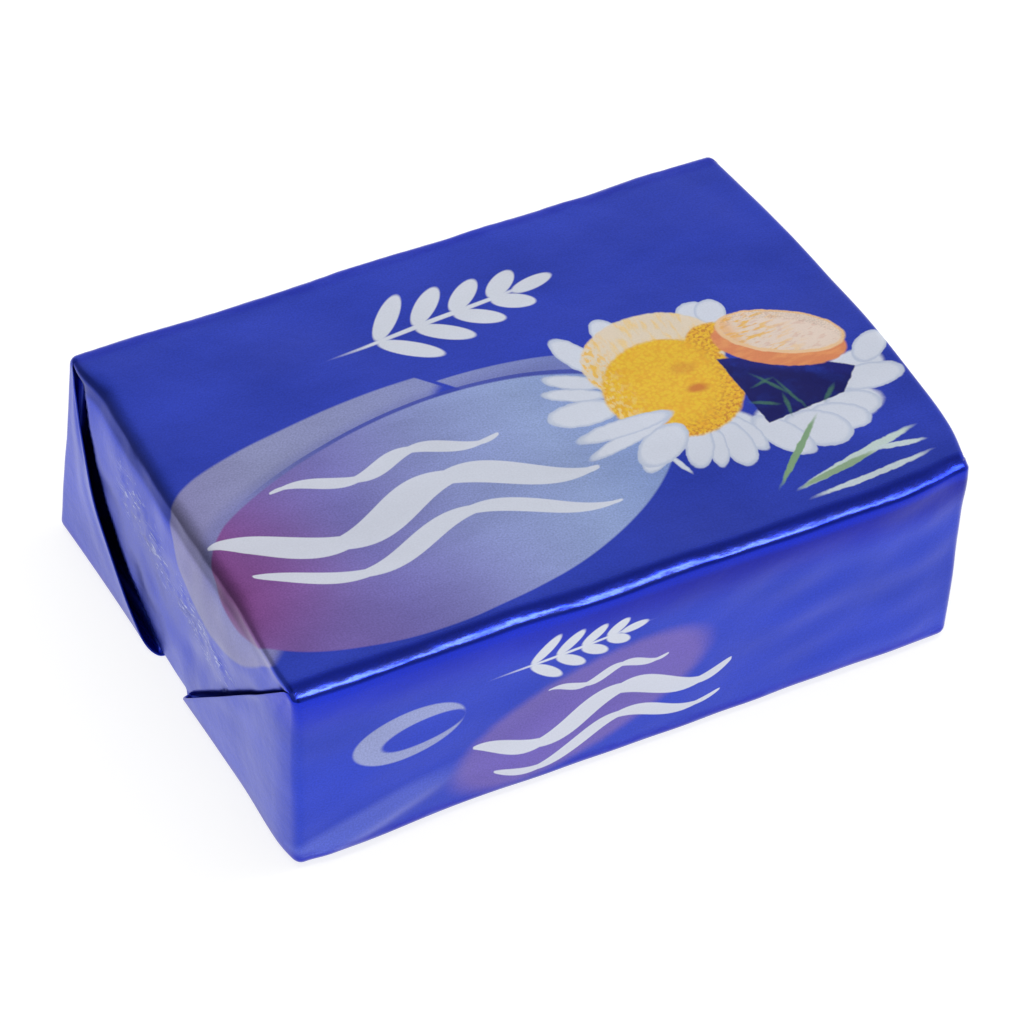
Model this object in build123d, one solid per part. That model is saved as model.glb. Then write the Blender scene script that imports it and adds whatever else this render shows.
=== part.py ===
from build123d import *
import os
from math import sqrt

# A quarter-kilo block of butter shut in one folded sheet of printed foil.
# +Z is up, +X runs along the length, and the block rests on the plane z = 0.
# The left end (-X) and the right end (+X) carry the folded ears of the sheet.

# Driving dimensions, in millimetres
block_length = 104.5     # between the upper back corners, along X
block_width = 74.6       # between the long sides, along Y
block_height = 34.0

left_bow = 1.2           # how far the middle of the left end stands out
right_bow = 1.7          # how far the middle of the right end stands out
side_bow = 0.4           # the same for each long side
right_skew = 2.6         # how much further the front right corner reaches than the back right one
right_lean = 1.6         # how much further the right end stands out at the top than at the base
flare_out = 1.8          # the back left corner pushed outwards at the base, along X
flare_back = 1.0         # and the same along Y

soft_corner = 6.0        # plan radius of the worn front right corner
firm_corner = 2.0        # plan radius of the other three
top_round = 1.4          # radius of the edge round the top
base_round = 1.7         # radius of the edge round the base

ear_lift = 1.3           # how far the free edge of an ear stands off the end panel at the base
ear_thickness = 0.45     # the two layers of foil that make an ear
pocket_depth = 7.0       # how far the gap under an ear's free edge goes in

ridge_width = 4.2        # the rolled ridge along the front top edge
trough_width = 3.6       # the dip just behind that ridge
trough_depth = 0.35

flap_overlap = 14.0      # how far the outer underside flap laps over the inner one
flap_step = 0.35         # the rise from one layer of the underside to the next
flap_border = 3.6        # the level band round the underside, outside the steps

side_flap = (block_width + flap_overlap) / 2    # how far each long flap reaches across the base
margin = 20.0            # how far a cutting tool stands out past the block


def plan_corners(at_base, end_inset):
    """The four corners of the block seen from above, before they are rounded."""
    left = -block_length / 2 + end_inset
    right = block_length / 2 - end_inset
    back = block_width / 2
    front = -block_width / 2
    lean = right_lean if at_base else 0.0
    out = flare_out if at_base else 0.0
    aside = flare_back if at_base else 0.0
    back_left = (left - out, back + aside)
    back_right = (right - lean / 2, back)
    front_right = (right + right_skew - lean, front)
    front_left = (left, front)
    return [back_left, back_right, front_right, front_left]


def bowed_edge(start, end, bow):
    """An arc from start to end whose middle stands out by bow, to the left of its direction."""
    across = (end[0] - start[0], end[1] - start[1])
    length = sqrt(across[0] ** 2 + across[1] ** 2)
    middle = (
        (start[0] + end[0]) / 2 - across[1] / length * bow,
        (start[1] + end[1]) / 2 + across[0] / length * bow,
    )
    return ThreePointArc(start, middle, end)


def plan_face(at_base, end_inset=0.0):
    """The rounded plan outline of the block, lying in the XY plane."""
    corners = plan_corners(at_base, end_inset)
    bows = [side_bow, right_bow, side_bow, left_bow]
    radii = [firm_corner, firm_corner, soft_corner, firm_corner]
    sides = []
    for index, bow in enumerate(bows):
        sides.append(bowed_edge(corners[index], corners[(index + 1) % 4], bow))
    outline = make_face(sides)
    for corner, radius in zip(corners, radii):
        vertex = outline.vertices().sort_by_distance((*corner, 0))[0]
        outline = fillet(vertex, radius)
    return outline


def block(inset_at_base, inset_at_top):
    """The whole block with square edges, its ends drawn in by the two insets."""
    base = plan_face(True, inset_at_base)
    top = Pos(0, 0, block_height) * plan_face(False, inset_at_top)
    return loft([base.face(), top.face()], ruled=True)


def rounded_block():
    """The block with its upper and lower edges rolled over."""
    body = block(0.0, 0.0)
    top_face = body.faces().sort_by(Axis.Z)[-1]
    body = fillet(top_face.edges(), top_round)
    base_face = body.faces().sort_by(Axis.Z)[0]
    return fillet(base_face.edges(), base_round)


def end_prism(points):
    """A prism along X with the given (y, z) outline, long enough to pass both ends."""
    outline = make_face(Polyline(*points, close=True).edges())
    length = block_length + 2 * margin
    turned = Plane(origin=(-length / 2, 0, 0), x_dir=(0, 1, 0), z_dir=(1, 0, 0))
    return extrude(turned * outline, length)


def end_panel():
    """The part of each end that the two ears leave bare: their free edges run at 45 degrees."""
    half = block_width / 2
    drop = margin / 2
    low = half - block_height - drop
    return end_prism([(-half, block_height), (half, block_height), (low, -drop), (-low, -drop)])


def ear_edges():
    """A strip of each ear, just behind its free edge, where the foil stands off the end."""
    half = block_width / 2
    drop = margin / 2
    low = half - block_height - drop
    strips = []
    for side in (-1, 1):
        outline = [
            (side * half, block_height),
            (side * half, block_height - pocket_depth),
            (side * (low + pocket_depth), -drop),
            (side * low, -drop),
        ]
        strips.append(end_prism(outline))
    return strips[0] + strips[1]


def middle_cut():
    """A long box that keeps the middle of the block away from the work on its ends."""
    return Box(block_length - 4 * ear_lift - 4 * firm_corner, block_width * 2, block_height * 3)


def fold_ends(body):
    """Sink the bare end panels between the ears, and open the gaps under the ears' free edges."""
    panel_body = block(ear_lift, 0.0)
    lining_body = block(ear_thickness, ear_thickness)
    body = body - (end_panel() - panel_body - middle_cut())
    pockets = (ear_edges() & lining_body) - panel_body
    return body - pockets


def top_trough():
    """A shallow rounded dip along the top, just behind the rolled front edge."""
    radius = (trough_width ** 2 / 4 + trough_depth ** 2) / (2 * trough_depth)
    line = -block_width / 2 + ridge_width
    axis_height = block_height - trough_depth + radius
    return Pos(0, line, axis_height) * Rot(0, 90, 0) * Cylinder(radius, block_length * 2)


def underside_wedge(length, rise):
    """A long wedge that starts at y = 0 with no height and rises towards -Y, below the block."""
    reach = block_length + 2 * margin
    outline = make_face(Polyline((0, 0), (-length, 0), (-length, rise), close=True).edges())
    turned = Plane(origin=(-reach / 2, 0, 0), x_dir=(0, 1, 0), z_dir=(1, 0, 0))
    return extrude(turned * outline, reach)


def underside_outline(points):
    """A prism up through the base of the block, with the given (x, y) outline."""
    outline = make_face(Polyline(*points, close=True).edges())
    return extrude(outline, block_height / 2)


def inner_flap():
    """The hollow over the inner long flap, which starts level at the back and sinks forwards."""
    half = block_width / 2 - flap_border
    depth = block_width - side_flap - flap_border
    wedge = Pos(0, half, 0) * underside_wedge(depth, flap_step)
    near = block_length / 2 - flap_border
    far = near - depth
    shape = [(-near, half), (near, half), (far, half - depth), (-far, half - depth)]
    return wedge & underside_outline(shape)


def end_flap(side):
    """The hollow over one end flap, which sinks towards the middle under both long flaps."""
    half = block_width / 2 - flap_border
    edge = block_length / 2 - flap_border
    wedge = underside_wedge(half, 2 * flap_step)
    turned = Pos(side * edge, 0, 0) * Rot(0, 0, -90 * side) * wedge
    shape = [(side * edge, half), (side * (edge - half), 0), (side * edge, -half)]
    return turned & underside_outline(shape)


def wrapped_block():
    """The shut pack as one solid, centred over its own base."""
    body = fold_ends(rounded_block())
    body = body - top_trough()
    body = body - inner_flap() - end_flap(-1) - end_flap(1)
    limits = body.bounding_box()
    middle = limits.center()
    return Pos(-middle.X, -middle.Y, -limits.min.Z) * body.solid()


os.makedirs("parts", exist_ok=True)
export_step(wrapped_block(), "parts/wrapped_block.step")
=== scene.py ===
"""A wrapped block of butter: printed foil folded round it, on a pale studio floor.

The wrapper is one closed mesh, made from the flat sheet's own layout. Sizes are in millimetres
until the mesh is written, in metres, in the CAD frame.
"""
from math import cos, pi, radians, sin

import bmesh
import bpy
import numpy as np
from mathutils import Matrix, Vector


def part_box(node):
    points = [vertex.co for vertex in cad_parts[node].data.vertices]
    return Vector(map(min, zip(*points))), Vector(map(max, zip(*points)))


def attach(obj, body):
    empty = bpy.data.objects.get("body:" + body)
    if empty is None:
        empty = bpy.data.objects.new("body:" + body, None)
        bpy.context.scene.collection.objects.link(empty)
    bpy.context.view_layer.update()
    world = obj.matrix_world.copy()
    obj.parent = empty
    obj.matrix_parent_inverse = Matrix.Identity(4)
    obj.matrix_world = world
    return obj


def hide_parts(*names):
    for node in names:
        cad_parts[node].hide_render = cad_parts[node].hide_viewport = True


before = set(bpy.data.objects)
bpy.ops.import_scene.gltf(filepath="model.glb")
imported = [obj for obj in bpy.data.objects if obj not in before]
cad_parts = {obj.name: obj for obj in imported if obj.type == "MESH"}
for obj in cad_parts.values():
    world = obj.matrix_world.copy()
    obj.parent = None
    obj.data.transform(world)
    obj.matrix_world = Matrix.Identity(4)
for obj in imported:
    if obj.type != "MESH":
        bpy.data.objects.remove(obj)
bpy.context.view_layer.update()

NODE = "wrapped_block"
MM = 0.001

# Sizes of the pack, in millimetres, from the frame's own box
LOW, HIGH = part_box(NODE)
SPAN = (HIGH - LOW) / MM
HEIGHT = SPAN.z
END_MARGIN = 5.37          # the box's length beyond the corners: the bows, the skew and the flare
SIDE_MARGIN = 1.42         # the same across the width
LENGTH = SPAN.x - END_MARGIN
WIDTH = SPAN.y - SIDE_MARGIN

TOP_ROUND = 1.2            # radius of the creases round the top panel
BASE_ROUND = 1.8           # radius of the rolled edge round the base
FOIL = 0.32                # the two layers of an ear, with the air between them
CELL = 0.7                 # the mesh's usual spacing
END_CELL = 0.6             # its spacing across the end panels
FRONT_FOOT = -1.5          # where the front ear's free edge meets the base, across the pack
BACK_FOOT = 8.0            # the same for the back ear

FLAP_LAP = 7.0             # how far the outer underside flap passes the centre line
FLAP_STEP = 0.35           # rise from one layer of the underside to the next


def smooth(value, low, high):
    """0 below low, 1 above high, and a smooth rise between."""
    t = np.clip((value - low) / (high - low), 0.0, 1.0)
    return t * t * (3.0 - 2.0 * t)


def bell(value, centre, width):
    """A smooth bump of height 1 at centre, which is nearly gone width away."""
    return np.exp(-((value - centre) / (0.5 * width)) ** 2)


class Waves:
    """Smooth seeded noise: a sum of plane waves round one wavelength, roughly between -1 and 1."""

    def __init__(self, seed, wavelength, stretch=(1.0, 1.0), count=24):
        draw = np.random.default_rng(seed)
        heading = draw.uniform(0, 2 * pi, count)
        rate = 2 * pi / wavelength * draw.uniform(0.6, 1.5, count)
        self.across = rate * np.cos(heading) / stretch[0]
        self.along = rate * np.sin(heading) / stretch[1]
        self.phase = draw.uniform(0, 2 * pi, count)
        self.scale = 1.0 / np.sqrt(count / 2)

    def __call__(self, a, b):
        total = np.zeros(np.broadcast(a, b).shape)
        for across, along, phase in zip(self.across, self.along, self.phase):
            total += np.sin(across * a + along * b + phase)
        return total * self.scale


# ---- The folded sheet, level by level from the top crease down to the base ----

def level_table():
    """Each level's inset from the side planes, height, tilt of the surface, and distance down the sheet."""
    rows = []
    top_steps = 7
    for step in range(top_steps):
        tilt = pi / 2 * (1 - step / top_steps)
        rows.append((TOP_ROUND * (1 - cos(tilt)), HEIGHT - TOP_ROUND * (1 - sin(tilt)), tilt))
    wall = HEIGHT - TOP_ROUND - BASE_ROUND
    wall_steps = round(wall / CELL)
    for step in range(wall_steps + 1):
        rows.append((0.0, HEIGHT - TOP_ROUND - wall * step / wall_steps, 0.0))
    base_steps = 8
    for step in range(1, base_steps + 1):
        tilt = -pi / 2 * step / base_steps
        rows.append((BASE_ROUND * (1 - cos(tilt)), BASE_ROUND * (1 + sin(tilt)), tilt))
    rows = np.array(rows)
    steps = np.hypot(np.diff(rows[:, 0]), np.diff(rows[:, 1]))
    return np.column_stack([rows, np.concatenate([[0.0], np.cumsum(steps)])])


LEVELS = level_table()
TOP_X = LENGTH / 2 - TOP_ROUND         # half the size of the flat top panel
TOP_Y = WIDTH / 2 - TOP_ROUND
BASE_X = TOP_X + LEVELS[-1, 3]         # where the sheet, laid flat, turns under the base
BASE_Y = TOP_Y + LEVELS[-1, 3]

N_SIDE = round(2 * TOP_X / CELL)
N_END = round(TOP_Y / END_CELL) * 2
N_ARC = 5
N_EAR = 48
N_FOLD = 4
N_UNDER = 30
END_LINE = np.linspace(-1, 1, N_END + 1)
HIDDEN = (int(np.sum(END_LINE < FRONT_FOOT / TOP_Y)), int(np.sum(END_LINE > BACK_FOOT / TOP_Y)))
EAR_REACH = ((END_LINE[HIDDEN[0]] + 1) * TOP_Y, (1 - END_LINE[N_END - HIDDEN[1]]) * TOP_Y)
FRONT, BACK = 0, 1


def ear_width(height, ear):
    """How far an ear reaches over the end panel at a height: the front one's free edge runs at 45 degrees."""
    down = np.clip((HEIGHT - height) / HEIGHT, 0.0, 1.0)
    if ear == BACK:
        down = 0.51 * down + 0.49 * down ** 3
    start = 0.35 * smooth(HEIGHT - height, 0.0, TOP_ROUND)
    return start + (EAR_REACH[ear] - start) * down


def ear_lift(reach, height, ear):
    """How far an ear stands off the end's plane; reach is 0 at the upright crease, 1 at the free edge."""
    down = np.clip((HEIGHT - height) / HEIGHT, 0.0, 1.0)
    early = smooth(HEIGHT - height, 0.0, 4.0)
    if ear == BACK:
        edge = 0.15 * early + 0.45 * smooth(down, 0.15, 0.6) + 0.35 * smooth(down, 0.6, 1.0)
    else:
        edge = 0.15 * early + 0.60 * smooth(down, 0.2, 1.0)
    ripple = 0.05 * EAR_RIPPLES(reach * 30.0, height) * early * reach * smooth(height, 0.0, 5.0)
    return edge * reach ** 1.6 + ripple


def panel_depth(across, height):
    """How deep the end panel lies behind the end's plane; it falls away into the pockets under the ears."""
    down = np.clip((HEIGHT - height) / HEIGHT, 0.0, 1.0)
    early = smooth(HEIGHT - height, 0.0, 2.5)
    lip = 2.2 * smooth(HEIGHT - height, 0.2, 1.6) + 0.5 * bell(height, 8.0, 12.0)
    back = smooth(across - (TOP_Y - ear_width(height, BACK) - lip), -0.2, 1.9)
    front = smooth(-across - (TOP_Y - ear_width(height, FRONT)), -0.7, 0.8)
    pocket = 2.4 * back * smooth(HEIGHT - height, 0.4, 3.4) + 1.3 * front * np.sqrt(down)
    bowl = 0.55 * bell(across, -4.0, 17.0) * bell(height, 13.0, 11.0)
    centre = 26.0 - 0.26 * (20.0 - across)
    crinkled = bell(height, centre, 7.0) * smooth(across, -19.0, -13.0) * smooth(-across, -23.0, -18.0)
    ridge = 1.0 - np.minimum(1.6 * np.abs(CRINKLES(across, height)), 1.0)
    dent = 0.05 * PANEL_DENTS(across, height)
    return early * (FOIL + 0.14 + 0.1 * down + pocket + bowl + dent - 0.18 * ridge * crinkled)


EAR_RIPPLES = Waves(17, 14.0)
CRINKLES = Waves(19, 4.2, stretch=(1.8, 0.8))
PANEL_DENTS = Waves(23, 8.0)


def crease_radius(inset, tilt):
    """The radius of the upright creases at a level."""
    return max(TOP_ROUND - (inset if tilt >= 0 else 0.6 * inset), 0.0)


def ear_section(inset, height, tilt, ear):
    """One ear at one level, from the long side inwards, as rows of (out, in, up)."""
    radius = crease_radius(inset, tilt)
    thick = FOIL * smooth(HEIGHT - height, 0.0, 2.5)
    width = ear_width(height, ear) * (WIDTH / 2 - inset - radius) / TOP_Y
    turn = np.linspace(0, pi / 2, N_ARC + 1)
    crease = [radius * (np.sin(turn) - 1), radius * (1 - np.cos(turn)), 0 * turn]
    reach = np.linspace(0, 1, N_EAR + 1)[1:]
    outer = [ear_lift(reach, height, ear), radius + width * reach, 0 * reach]
    turn = np.linspace(0, pi, N_FOLD + 1)[1:]
    layer = thick / 2 * (1 - np.cos(turn))
    fold = [outer[0][-1] - layer, outer[1][-1] + thick / 2 * np.sin(turn), layer]
    hidden = HIDDEN[ear]
    reach = (END_LINE[:hidden][::-1] + 1) / (END_LINE[hidden] + 1)
    inner = [ear_lift(reach, height, ear) - thick, radius + width * reach, thick + 0 * reach]
    out, inwards, layer = np.hstack([crease, outer, fold, inner])
    if tilt < 0:
        out = out + layer * (1 - cos(tilt))
        return np.column_stack([out, inwards, -layer * sin(tilt)])
    return np.column_stack([out, inwards, 0 * layer])


def end_section(inset, height, tilt):
    """The whole end at one level, from the front long side to the back one, as (out, y, z)."""
    edge = WIDTH / 2 - inset
    radius = crease_radius(inset, tilt)
    front = ear_section(inset, height, tilt, FRONT)
    back = ear_section(inset, height, tilt, BACK)[::-1]
    front = np.column_stack([front[:, 0], front[:, 1] - edge, height + front[:, 2]])
    back = np.column_stack([back[:, 0], edge - back[:, 1], height + back[:, 2]])
    across = END_LINE * (edge - radius)
    depth = panel_depth(END_LINE * TOP_Y, height)
    if tilt < 0:
        under = smooth(-tilt / (pi / 2), 0.0, 1.0)
        depth = depth * (1 - under) + FOIL * under
        panel = np.column_stack([-depth * cos(tilt), across, height - depth * sin(tilt)])
        first, last = HIDDEN[FRONT] + 1, HIDDEN[BACK] + 1
        panel[:first] = panel[:first] * (1 - under) + front[-first:][::-1] * under
        panel[-last:] = panel[-last:] * (1 - under) + back[:last][::-1] * under
    else:
        panel = np.column_stack([-depth, across, height + 0 * across])
    return front, panel, back


def end_sheets(side):
    """One end's patches, level by level: both ears' outer parts, and the inner sheet between their folds."""
    fold_middle = N_ARC + N_EAR + N_FOLD // 2
    fronts, inners, backs = [], [], []
    for inset, height, tilt in LEVELS[:, :3]:
        front, panel, back = end_section(inset, height, tilt)
        plane = LENGTH / 2 - inset
        for part in (front, panel, back):
            part[:, 0] = side * (plane + part[:, 0])
        fronts.append(front[:fold_middle + 1])
        backs.append(back[::-1][:fold_middle + 1])
        inners.append(np.vstack([front[fold_middle:], panel, back[:len(back) - fold_middle]]))
    return np.array(fronts), np.array(inners), np.array(backs)


def run_along(points):
    """The distance along each row of a patch."""
    steps = np.linalg.norm(np.diff(points, axis=1), axis=2)
    return np.concatenate([np.zeros((len(points), 1)), np.cumsum(steps, axis=1)], axis=1)


def side_sheet(left, right, facing):
    """A long side with the outer layers of its two ears, and its flat layout."""
    line = np.linspace(1, -1, N_SIDE + 1)[1:-1]
    rows = []
    for index, (inset, height, tilt) in enumerate(LEVELS[:, :3]):
        reach = LENGTH / 2 - inset - crease_radius(inset, tilt)
        middle = np.column_stack([line * reach, facing * (WIDTH / 2 - inset) + 0 * line, height + 0 * line])
        rows.append(np.vstack([right[index][::-1], middle, left[index]]))
    points = np.array(rows)
    along = run_along(points)
    centre = (along[:, N_ARC + N_EAR + N_FOLD // 2] + along[:, -1 - N_ARC - N_EAR - N_FOLD // 2]) / 2
    across = centre[:, None] - along
    down = TOP_Y + LEVELS[:, 3][:, None] + 0 * along
    return points, np.stack([across, facing * down], axis=2)


def end_sheet(inner, side):
    """An end panel with the inner layers of its two ears, and its flat layout."""
    along = run_along(inner)
    first = N_FOLD // 2 + HIDDEN[FRONT] + 1
    start, stop = along[:, [first]], along[:, [first + N_END]]
    centre = start + (stop - start) / 2
    down = TOP_X + LEVELS[:, 3][:, None] + 0 * along
    return inner, np.stack([side * down, along - centre], axis=2)


def top_sheet():
    """The flat top panel."""
    x = np.linspace(-TOP_X, TOP_X, N_SIDE + 1)
    y = END_LINE * TOP_Y
    points = np.zeros((len(y), len(x), 3))
    points[:, :, 0] = x[None, :]
    points[:, :, 1] = y[:, None]
    points[:, :, 2] = HEIGHT
    return points, points[:, :, :2].copy()


def underside_height(x, y):
    """The underside's stepped surface: one long flap laps over the other, and both over the end flaps."""
    half_x, half_y = LENGTH / 2 - BASE_ROUND, WIDTH / 2 - BASE_ROUND
    from_end = half_x - np.abs(x)
    height = 2 * FLAP_STEP * from_end / half_y
    inner = smooth(from_end - (half_y - y), -0.5, 0.5)
    height = height * (1 - inner) + inner * FLAP_STEP * (half_y - y) / (half_y - FLAP_LAP)
    outer = smooth(np.minimum(from_end - (half_y + y), FLAP_LAP - y), -0.5, 0.5)
    return height * (1 - outer)


def underside_sheet(border, flat_border, flat_step):
    """A patch of the underside: it draws its border row in to the centre line of the base."""
    half_x, half_y = LENGTH / 2 - BASE_ROUND, WIDTH / 2 - BASE_ROUND
    target = np.zeros_like(border)
    ratio = (half_x - half_y) / (half_x - crease_radius(BASE_ROUND, -1.0))
    target[:, 0] = np.sign(border[:, 0]) * np.minimum(np.abs(border[:, 0]) * ratio, half_x - half_y)
    points, flat = [], []
    for share in np.linspace(0, 1, N_UNDER + 1):
        row = border * (1 - share) + target * share
        start = border[:, 2] - underside_height(border[:, 0], border[:, 1])
        row[:, 2] = underside_height(row[:, 0], row[:, 1]) + start * (1 - smooth(share * half_y, 0.0, 4.0))
        points.append(row)
        flat.append(flat_border + (row - border)[:, :2] * flat_step)
    return np.array(points), np.array(flat)


def turned(patch):
    """A patch with its rows run the other way, so that it faces the other way."""
    points, flat = patch
    return points[:, ::-1], flat[:, ::-1]


def folded_sheet():
    """Every patch of the folded sheet, as (points, flat layout), all facing outwards."""
    patches = [top_sheet()]
    fronts, inners, backs = {}, {}, {}
    for side in (-1, 1):
        fronts[side], inners[side], backs[side] = end_sheets(side)
    front = side_sheet(fronts[-1], fronts[1], -1)
    back = side_sheet(backs[-1], backs[1], 1)
    patches += [front, turned(back)]
    margin = N_EAR + N_FOLD // 2
    for facing, (points, flat) in ((-1, front), (1, back)):
        border, border_flat = points[-1][margin:-margin], flat[-1][margin:-margin]
        below = underside_sheet(border, border_flat, np.array([1.0, -1.0]))
        patches.append(turned(below) if facing > 0 else below)
    for side in (-1, 1):
        for patch in (end_sheet(inners[side], side), end_flap(side, fronts[side], inners[side], backs[side])):
            patches.append(turned(patch) if side > 0 else patch)
    return patches


def end_flap(side, front, inner, back):
    """The underside's end flap, which carries on from the ears' outer layers and the bare panel between."""
    middle = inner[-1][N_FOLD // 2:-(N_FOLD // 2)]
    middle = middle[2 * HIDDEN[FRONT] + 1:len(middle) - 2 * HIDDEN[BACK] - 1]
    fold = N_FOLD // 2
    border = np.vstack([
        front[-1][N_ARC:],
        inner[-1][1:fold + 1],
        middle[1:-1],
        inner[-1][-fold - 1:-1],
        back[-1][N_ARC:][::-1],
    ])
    flat = np.column_stack([side * BASE_X + 0 * border[:, 1], border[:, 1]])
    return underside_sheet(border, flat, np.array([-1.0, 1.0]))


# ---- The block's own shape: bowed, leaning and a little pressed, as soft butter is ----

END_LEAN = 3.49            # how far the right end's top edge leans out, at its furthest
END_LEAN_AT = 19.0         # that place's distance in front of the middle
END_LEAN_CURVE = 0.00118   # how fast the lean falls away to both sides
END_LEAN_FROM = 10.0       # where along the pack the lean begins


def end_swell(x, y, z):
    """The right end leans out towards its top; the left end bows a little and flares at its back foot."""
    up = z / HEIGHT
    right = (END_LEAN - END_LEAN_CURVE * (y + END_LEAN_AT) ** 2) * up + 0.3 * (1 - up)
    left = -1.25 * (1 - (y / (WIDTH / 2)) ** 2) * up
    flare = -2.0 * np.clip((y - 7.0) / 31.0, 0.0, 1.0) * (1 - up)
    dx = right * smooth(x, END_LEAN_FROM, TOP_X) + (left + flare) * smooth(-x, 25.0, TOP_X)
    dy = 1.2 * smooth(-x, 44.0, 54.0) * smooth(y, 28.0, WIDTH / 2) * (1 - up)
    return dx, dy, 0 * z


def side_swell(x, y, z):
    """The long sides belly out slightly, most near the front's left foot."""
    up = z / HEIGHT
    front = smooth(-y, 20.0, WIDTH / 2)
    back = smooth(y, 20.0, WIDTH / 2)
    belly = 1 - (x / (LENGTH / 2)) ** 2
    dy = front * (-0.35 * belly * up - 0.55 * bell(x, -42.0, 24.0) * (1 - up))
    dy += back * 0.35 * belly
    return 0 * x, dy, 0 * z


class Roll:
    """A crease of the folded sheet, eased from a sharp fold into a soft roll."""

    def __init__(self, edge, start, slopes):
        flat = edge - TOP_ROUND - start
        arc = TOP_ROUND * pi / 2
        length = flat + arc + HEIGHT - TOP_ROUND - ROLL_FOOT
        run = np.linspace(0.0, length, 161)
        turn = np.clip((run - flat) / TOP_ROUND, 0.0, pi / 2)
        out = start + np.minimum(run, flat) + TOP_ROUND * np.sin(turn)
        height = HEIGHT - TOP_ROUND * (1 - np.cos(turn)) - np.maximum(run - flat - arc, 0.0)
        self.sharp = np.column_stack([out, height])
        places, degrees = zip(*slopes)
        middles = (run[1:] + run[:-1]) / 2 * places[-1] / length
        tilt = np.radians(np.interp(middles, places, degrees))
        steps = np.column_stack([np.cos(tilt), -np.sin(tilt)]) * places[-1] / (len(run) - 1)
        soft = self.sharp[0] + np.vstack([[0.0, 0.0], np.cumsum(steps, axis=0)])
        move = soft - self.sharp
        self.move = move - move[-1] * smooth(run / length, 0.5, 1.0)[:, None]
        self.start = start

    def __call__(self, out, height):
        """How far points move outwards and up, by the nearest place on the sharp fold."""
        moves = np.zeros(out.shape + (2,))
        near = (out > self.start - 1.0) & (height > ROLL_FOOT)
        points = np.column_stack([out[near], height[near]])
        apart = np.linalg.norm(points[:, None] - self.sharp[None], axis=2)
        index = np.clip(apart.argmin(axis=1), 1, len(self.sharp) - 2)
        along = self.sharp[index + 1] - self.sharp[index - 1]
        share = np.sum((points - self.sharp[index]) * along, axis=1) / np.sum(along ** 2, axis=1) * 2
        spot = np.clip(index + share, 0, len(self.sharp) - 1)
        fade = 1 - smooth(apart.min(axis=1), 0.7, 3.5)
        for part in (0, 1):
            moves[near, part] = fade * np.interp(spot, np.arange(len(self.sharp)), self.move[:, part])
        return moves[..., 0], moves[..., 1]


ROLL_FOOT = 24.0           # the rolls leave everything below this height as it is
FRONT_START = 31.0         # where the front roll begins, from the middle of the pack
LEFT_START = 45.8          # the same for the left roll
# Each roll's slope in degrees, by the distance from where it begins
FRONT_SLOPES = ((0.0, 0.0), (2.7, 0.0), (3.9, 10.0), (6.0, 25.0), (6.6, 80.0), (7.1, 84.0), (12.0, 90.0),
                (15.4, 90.0))
LEFT_SLOPES = ((0.0, 0.0), (2.0, 0.0), (3.2, 20.0), (6.2, 60.0), (7.7, 84.0), (11.0, 90.0), (12.1, 90.0))
FRONT_ROLL = Roll(WIDTH / 2, FRONT_START, FRONT_SLOPES)
LEFT_ROLL = Roll(LENGTH / 2, LEFT_START, LEFT_SLOPES)


def front_roll(x, y, z):
    """The front top crease is a broad soft roll."""
    out, up = FRONT_ROLL(-y, z)
    return 0 * x, -out, up


def left_roll(x, y, z):
    """The left top crease is rounder still, except near its corners."""
    out, up = LEFT_ROLL(-x, z)
    share = smooth(y, -35.0, -14.0) * smooth(-y, -34.5, -27.0)
    return -out * share, 0 * y, up * share


def soft_upright(x, y, z):
    """The front left upright crease is a broad soft turn, not a sharp one."""
    left = smooth(-x, 44.0, 51.0)
    turn = np.clip((-y - 31.8) / 5.0, 0.0, 1.0)
    dx = left * (0.62 * turn ** 2 - 0.35 * smooth(-y, 20.0, 31.5)) * smooth(HEIGHT - z, 0.5, 9.0)
    return dx, 0 * y, 0 * z


def front_sag(x, y, z):
    """The front of the block sinks towards the right, where it has been handled."""
    up = np.clip(z / HEIGHT, 0.0, 1.0) ** 2
    dz = -(0.1 + 0.85 * smooth(x, -30.0, 20.0)) * smooth(-y, 2.0, 38.0) * up
    return 0 * x, 0 * y, dz


def corner_strain(x, y, z):
    """A ridge that runs up from the front's left foot, where the foil is pulled round the corner."""
    front = smooth(-y, 35.0, 36.8)
    along = (x + 50.0) / 26.0
    off = z - 1.5 - 8.5 * along
    ridge = bell(off, 0.0, 4.0) * smooth(along, 0.0, 0.15) * (1 - smooth(along, 0.6, 1.0))
    return 0 * x, -0.50 * front * ridge, 0 * z


def worn_corner(x, y, z):
    """The front right corner is pushed in and rounded, most at the top."""
    up = z / HEIGHT
    near = np.exp(-((x - LENGTH / 2 - 3.0) ** 2 + (y + WIDTH / 2) ** 2) / 7.0 ** 2)
    push = 1.35 * near * (0.25 + 0.75 * up)
    return -push, push, -0.25 * near * up


SWELLS = Waves(3, 26.0)
DENTS = Waves(5, 9.0)
CRUMPLES = Waves(7, 2.6)
SIDE_SWELLS = Waves(11, 22.0, stretch=(1.6, 1.0))
SIDE_DENTS = Waves(13, 8.0, stretch=(1.7, 1.0))


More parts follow.
